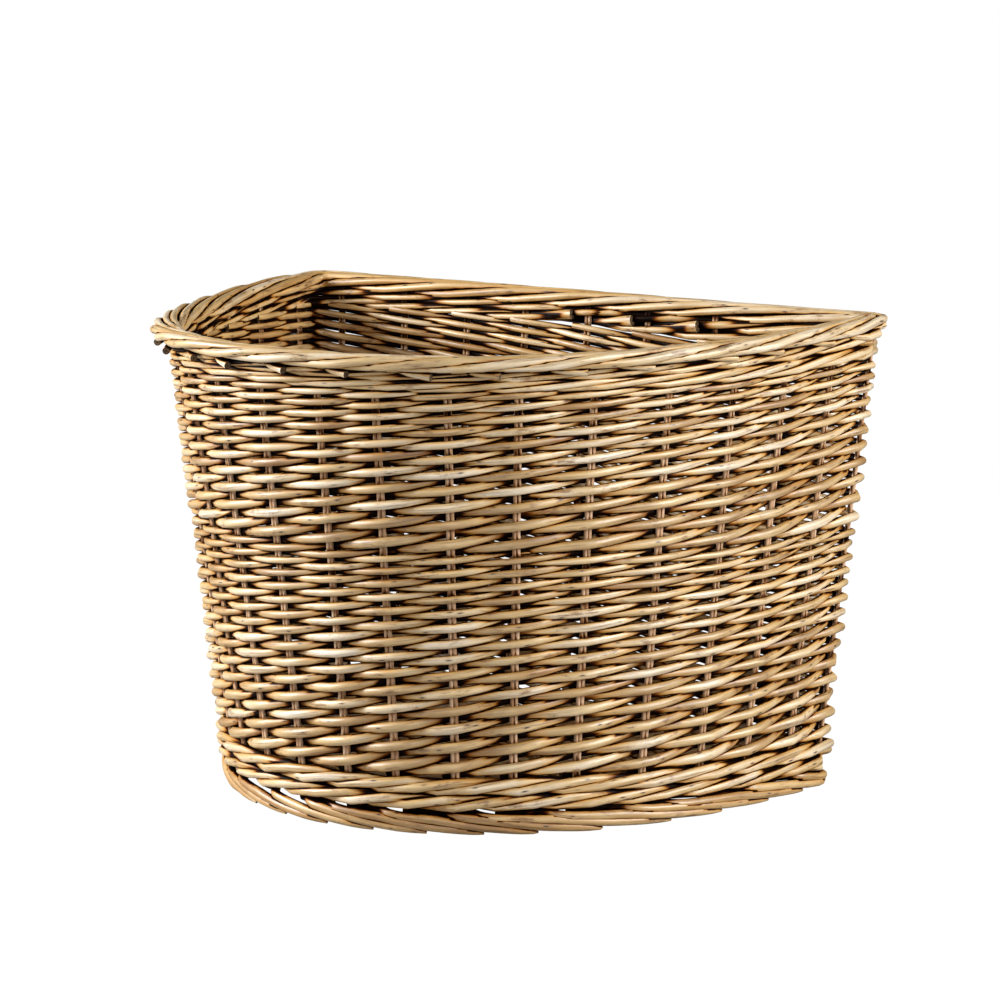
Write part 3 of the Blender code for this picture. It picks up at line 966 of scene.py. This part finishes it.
# %% Base sticks and rods
stick_radius = 0.0030
stick_steps = 12
stick_names = sorted(name for name in nodes if name.startswith("base_stick_"))
stick_places = []
for order, name in enumerate(stick_names, 1):
    low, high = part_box(name)
    x, z = (low[0] + high[0]) / 2, (low[2] + high[2]) / 2
    stick_places.append(x)
    path = [Vector((x, low[1] + (high[1] - low[1]) * k / stick_steps, z)) for k in range(stick_steps + 1)]
    radii = [stick_radius] * len(path)
    rod = bent_rod(f"stick_{order}", path, radii, stake_willow, 0.5 + 0.05 * order, section=stake_section_length)
    finish_piece(rod, "base_sticks", name)
stick_places.sort()
stick_gap = (stick_places[-1] - stick_places[0]) / (len(stick_places) - 1)
base_low, base_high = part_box("base_weave")
base_level = (base_low[2] + base_high[2]) / 2
base_pitch = 0.0056
base_radius = 0.0023
base_margin = 0.006
base_wave = 0.0050
edge_band = 0.004
row_steps = 90
rows_per_rod = 6
print("sticks:", len(stick_places), "gap", round(stick_gap, 4), "base from", base_low, "to", base_high)


def base_half_width(y):
    """Half the width of the D at the base's height, at one depth."""
    level = base_level / rim_level
    line = floor_line * (1 - level) + rim_line * level
    near = line[np.abs(line[:, 1] - y) < edge_band]
    return float(near[:, 0].max()) - base_margin


def base_rod(name, rows, seed):
    chance = random.Random(seed)
    points = []
    for order, y in enumerate(rows):
        half = base_half_width(y)
        heading = 1 if order % 2 == 0 else -1
        for k in range(row_steps + 1):
            x = heading * half * (2 * k / row_steps - 1)
            wave = heading * math.cos(math.pi * (x - stick_places[0]) / stick_gap)
            points.append(Vector((x, y, base_level + base_wave * wave)))
    radii = [base_radius] * len(points)
    # The base takes the darker copy of the willow, which is painted shade.
    return bent_rod(name, points, radii, brown_willow, chance.uniform(0.2, 0.9), 8)


row_places = []
y = base_low[1] + base_margin
while y < base_high[1] - edge_band:
    row_places.append(y)
    y += base_pitch
for first in range(0, len(row_places), rows_per_rod):
    rows = row_places[first:first + rows_per_rod]
    rod = base_rod(f"base_rod_{first // rows_per_rod + 1}", rows, 600 + first)
    finish_piece(rod, "base_weave", "base_weave")
print("base rows:", len(row_places))


# %% [markdown]
# ## Painted shade in the hollows
# Between the rods it is dark, and shade is painted into the willow's colour there too. To find these hollows,
# every point of every rod looks around. Rays go out from it in all directions over the surface, and the share of
# them that soon meets a rod tells how deep the point lies. What looks to the middle of the basket counts as a
# little deeper and gets more painted shade, because the walls all round keep it in the dark.

# %% How closed in each point is
ray_count = 32
view_reach = 0.007
view_lift = 0.0003
least_lean = 0.12
# Extra painted shade for points that look to the middle of the basket.
inside_painted_shade = 0.11
middle_y = 0.03

view_rays = []
for k in range(ray_count):
    height = 1 - (2 * k + 1) / ray_count
    angle = k * math.pi * (3 - math.sqrt(5))
    wide = math.sqrt(1 - height * height)
    view_rays.append(Vector((wide * math.cos(angle), wide * math.sin(angle), height)))

all_points = []
all_faces = []
for piece in pieces:
    first = len(all_points)
    all_points += [vertex.co.copy() for vertex in piece.data.vertices]
    all_faces += [[first + k for k in face.vertices] for face in piece.data.polygons]
rods_around = BVHTree.FromPolygons(all_points, all_faces)


def closed_in(point, normal):
    """Share of the view from a point that rods close off."""
    start = point + normal * view_lift
    total = 0.0
    met = 0.0
    for ray in view_rays:
        lean = ray.dot(normal)
        if lean > least_lean:
            total += lean
            if rods_around.ray_cast(start, ray, view_reach)[3] is not None:
                met += lean
    return met / total


def faces_inward(point, normal):
    """1 where a point looks straight at the middle of the basket, 0 where it looks away."""
    outward = Vector((point.x, point.y - middle_y, 0)).normalized()
    return max(0.0, -outward.dot(normal))


# The painted shade of each point: how far rods close it in, plus a little where it looks to the middle of the
# basket.
for piece in pieces:
    mesh = piece.data
    painted_shade = mesh.attributes.new("painted_shade", "FLOAT", "POINT")
    painted_shade.data.foreach_set("value", [
        closed_in(vertex.co, vertex.normal) + inside_painted_shade * faces_inward(vertex.co, vertex.normal)
        for vertex in mesh.vertices])
print("points looked from:", len(all_points))


# %% [markdown]
# ## Floor
# The object is shown as in the photograph, on white. The floor and the world glow white for the camera alone,
# and a share of the floor's own paint stays in the mix, so that the basket's shadow shows on it.

# %% Floor and world
floor_size = 14
floor_height = -0.0002
floor_grey = 0.36
floor_glow = 1.08
glow_share = 0.93
world_light = 0.055

bpy.ops.object.select_all(action="DESELECT")
bpy.ops.mesh.primitive_plane_add(size=floor_size, location=(0, 0, floor_height))
floor = bpy.context.object
floor.name = "floor"
floor_paint, tree, paint = new_material("white_floor")
paint.inputs["Base Color"].default_value = (*grey(floor_grey), 1)
paint.inputs["Roughness"].default_value = 0.9
glow = add_node(tree, "ShaderNodeEmission", Strength=floor_glow)
ray = tree.nodes.new("ShaderNodeLightPath")
share = add_node(tree, "ShaderNodeMath", operation="MULTIPLY")
share.inputs[1].default_value = glow_share
blend = tree.nodes.new("ShaderNodeMixShader")
tree.links.new(ray.outputs["Is Camera Ray"], share.inputs[0])
tree.links.new(share.outputs[0], blend.inputs[0])
tree.links.new(paint.outputs[0], blend.inputs[1])
tree.links.new(glow.outputs[0], blend.inputs[2])
tree.links.new(blend.outputs[0], tree.nodes["Material Output"].inputs[0])
floor.data.materials.append(floor_paint)

world = bpy.data.worlds.new("studio")
bpy.context.scene.world = world
world.use_nodes = True
tree = world.node_tree
sky = tree.nodes["Background"]
sky.inputs["Color"].default_value = (1.0, 1.0, 1.0, 1)
ray = tree.nodes.new("ShaderNodeLightPath")
level = add_node(tree, "ShaderNodeMapRange")
level.inputs["To Min"].default_value = world_light
level.inputs["To Max"].default_value = 1.0
tree.links.new(ray.outputs["Is Camera Ray"], level.inputs["Value"])
tree.links.new(level.outputs[0], sky.inputs["Strength"])
print("floor:", floor.name, "world:", world.name)


# %% [markdown]
# ## Lamps
# In the photograph both ends of the basket are bright and its middle is darker, so one large softbox stands far
# round on either side, and a weak one in front fills in.

# %% Lamps
lamp_size = 0.9
lamp_target = Vector((0, 0, 0.15))


def softbox(name, azimuth, elevation, distance, power):
    a, e = math.radians(azimuth), math.radians(elevation)
    ray = Vector((math.sin(a) * math.cos(e), -math.cos(a) * math.cos(e), math.sin(e)))
    bpy.ops.object.select_all(action="DESELECT")
    bpy.ops.object.light_add(type="AREA", location=lamp_target + ray * distance)
    lamp = bpy.context.object
    lamp.name = name
    lamp.data.shape = "SQUARE"
    lamp.data.size = lamp_size
    lamp.data.energy = power
    lamp.rotation_euler = ray.to_track_quat("Z", "Y").to_euler()
    return lamp


lamps = [
    softbox("left_softbox", -58, 22, 2.2, 84), softbox("right_softbox", 98, 22, 2.2, 55),
    softbox("front_softbox", 25, 20, 2.4, 13),
]
print("lamps:", [lamp.name for lamp in lamps])


# %% [markdown]
# ## Camera
# The photograph was taken from a little above and to the right, with a long lens. The camera's place was found
# by fitting the outlines of the rim, the wall and the foot, and its aim puts the basket where it is in the frame.

# %% Camera
azimuth = math.radians(32.83)
elevation = math.radians(10.64)
camera_distance = 2.9014
camera_lens = 160.88
basket_middle = Vector((0, 0.0171, 0.1376))
aim_right = 0.02396
aim_up = 0.0483

toward = Vector((
    math.sin(azimuth) * math.cos(elevation), -math.cos(azimuth) * math.cos(elevation), math.sin(elevation)))
right = Vector((math.cos(azimuth), math.sin(azimuth), 0))
above = toward.cross(right)
eye = basket_middle + toward * camera_distance
aim = basket_middle + right * aim_right + above * aim_up
camera_data = bpy.data.cameras.new("camera")
camera_data.lens = camera_lens
camera = bpy.data.objects.new("camera", camera_data)
bpy.context.scene.collection.objects.link(camera)
camera.location = eye
camera.rotation_euler = (aim - eye).to_track_quat("-Z", "Y").to_euler()
bpy.context.scene.camera = camera
bpy.context.scene.view_settings.view_transform = "Standard"
print("camera at", [round(part, 3) for part in eye])


# %% [markdown]
# ## The straight rods go
# The straight rods have done their work and go. The finished basket has to fit in the box of its CAD model.

# %% The straight rods go
for straight in straight_rods.values():
    bpy.data.objects.remove(straight)
